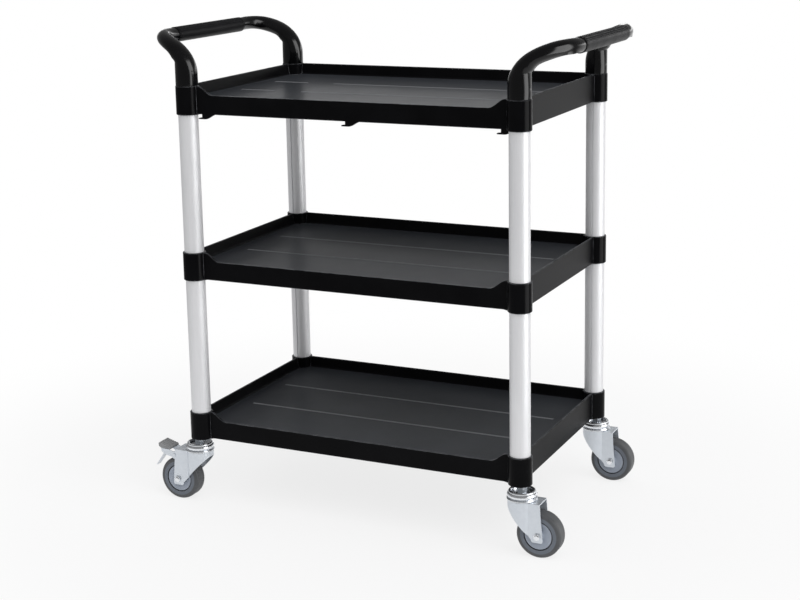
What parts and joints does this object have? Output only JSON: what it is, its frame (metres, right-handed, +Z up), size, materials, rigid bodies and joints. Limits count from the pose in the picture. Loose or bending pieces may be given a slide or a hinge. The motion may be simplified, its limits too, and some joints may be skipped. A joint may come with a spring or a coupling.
{
  "type": "rolling utility cart",
  "caption": "Rolling service cart with moulded trays on round aluminium posts, a curved push handle at each end, and swivel casters, the left ones with foot brakes",
  "frame": {"origin": "floor level under the middle of the cart, midway between the four posts and at the bottom centre of the overall box", "axes": "+X along the length toward the right handle, -Y to the front with the lowered shelf lips, +Z up"},
  "size_m": [0.9198, 0.505, 0.9821],
  "materials": {
    "shelf_plastic": "injection-moulded black polypropylene, fine satin grain",
    "post_aluminium": "satin anodised extrusion",
    "handle_plastic": "glossy black moulding",
    "grip_plastic": "ribbed dark grey, matte",
    "plug_plastic": "plain nylon",
    "zinc_bright": "bright chrome-plated pressing",
    "zinc_satin": "bright zinc-plated pressed steel",
    "wheel_hub": "light grey polypropylene",
    "wheel_tyre": "grey thermoplastic rubber, satin",
    "pad_plastic": "grey moulded foot pad"
  },
  "bodies": {
    "cart": {"shelf_top": "shelf_plastic", "shelf_middle": "shelf_plastic", "shelf_bottom": "shelf_plastic", "post_upper_fl": "post_aluminium", "post_upper_fr": "post_aluminium", "post_upper_bl": "post_aluminium", "post_upper_br": "post_aluminium", "post_lower_fl": "post_aluminium", "post_lower_fr": "post_aluminium", "post_lower_bl": "post_aluminium", "post_lower_br": "post_aluminium", "handle_left": "handle_plastic", "handle_right": "handle_plastic", "grip_left": "grip_plastic", "grip_right": "grip_plastic", "stem_plugs": "plug_plastic", "stem_fl": "zinc_satin", "race_fl": "zinc_bright", "stem_fr": "zinc_satin", "race_fr": "zinc_bright", "stem_bl": "zinc_satin", "race_bl": "zinc_bright", "stem_br": "zinc_satin", "race_br": "zinc_bright"},
    "swivel_fl": {"fork_fl": "zinc_satin", "axle_fl": "zinc_bright", "nut_fl": "zinc_satin", "brake_pin_fl": "zinc_satin"},
    "wheel_fl": {"bush_fl": "plug_plastic", "hub_fl": "wheel_hub", "tyre_fl": "wheel_tyre"},
    "pedal_fl": {"pedal_fl": "zinc_satin", "pad_fl": "pad_plastic"},
    "swivel_fr": {"fork_fr": "zinc_satin", "axle_fr": "zinc_bright", "nut_fr": "zinc_satin"},
    "wheel_fr": {"bush_fr": "plug_plastic", "hub_fr": "wheel_hub", "tyre_fr": "wheel_tyre"},
    "swivel_bl": {"fork_bl": "zinc_satin", "axle_bl": "zinc_bright", "nut_bl": "zinc_satin", "brake_pin_bl": "zinc_satin"},
    "wheel_bl": {"bush_bl": "plug_plastic", "hub_bl": "wheel_hub", "tyre_bl": "wheel_tyre"},
    "pedal_bl": {"pedal_bl": "zinc_satin", "pad_bl": "pad_plastic"},
    "swivel_br": {"fork_br": "zinc_satin", "axle_br": "zinc_bright", "nut_br": "zinc_satin"},
    "wheel_br": {"bush_br": "plug_plastic", "hub_br": "wheel_hub", "tyre_br": "wheel_tyre"}
  },
  "joints": [
    {"name": "swivel_fl", "type": "hinge", "parent": "cart", "child": "swivel_fl", "pos_m": [-0.36, -0.2225, 0.11], "axis": [0, 0, 1], "continuous": true},
    {"name": "wheel_fl", "type": "hinge", "parent": "swivel_fl", "child": "wheel_fl", "pos_m": [-0.405, -0.2225, 0.045], "axis": [0, 1, 0], "continuous": true},
    {"name": "brake_fl", "type": "hinge", "parent": "swivel_fl", "child": "pedal_fl", "pos_m": [-0.412, -0.2225, 0.097], "axis": [0, -1, 0], "range_deg": [0, 18]},
    {"name": "swivel_fr", "type": "hinge", "parent": "cart", "child": "swivel_fr", "pos_m": [0.36, -0.2225, 0.11], "axis": [0, 0, 1], "continuous": true},
    {"name": "wheel_fr", "type": "hinge", "parent": "swivel_fr", "child": "wheel_fr", "pos_m": [0.398, -0.2225, 0.045], "axis": [0, 1, 0], "continuous": true},
    {"name": "swivel_bl", "type": "hinge", "parent": "cart", "child": "swivel_bl", "pos_m": [-0.36, 0.2225, 0.11], "axis": [0, 0, 1], "continuous": true},
    {"name": "wheel_bl", "type": "hinge", "parent": "swivel_bl", "child": "wheel_bl", "pos_m": [-0.405, 0.2225, 0.045], "axis": [0, 1, 0], "continuous": true},
    {"name": "brake_bl", "type": "hinge", "parent": "swivel_bl", "child": "pedal_bl", "pos_m": [-0.412, 0.2225, 0.097], "axis": [0, -1, 0], "range_deg": [0, 18]},
    {"name": "swivel_br", "type": "hinge", "parent": "cart", "child": "swivel_br", "pos_m": [0.36, 0.2225, 0.11], "axis": [0, 0, 1], "continuous": true},
    {"name": "wheel_br", "type": "hinge", "parent": "swivel_br", "child": "wheel_br", "pos_m": [0.398, 0.2225, 0.045], "axis": [0, 1, 0], "continuous": true}
  ]
}
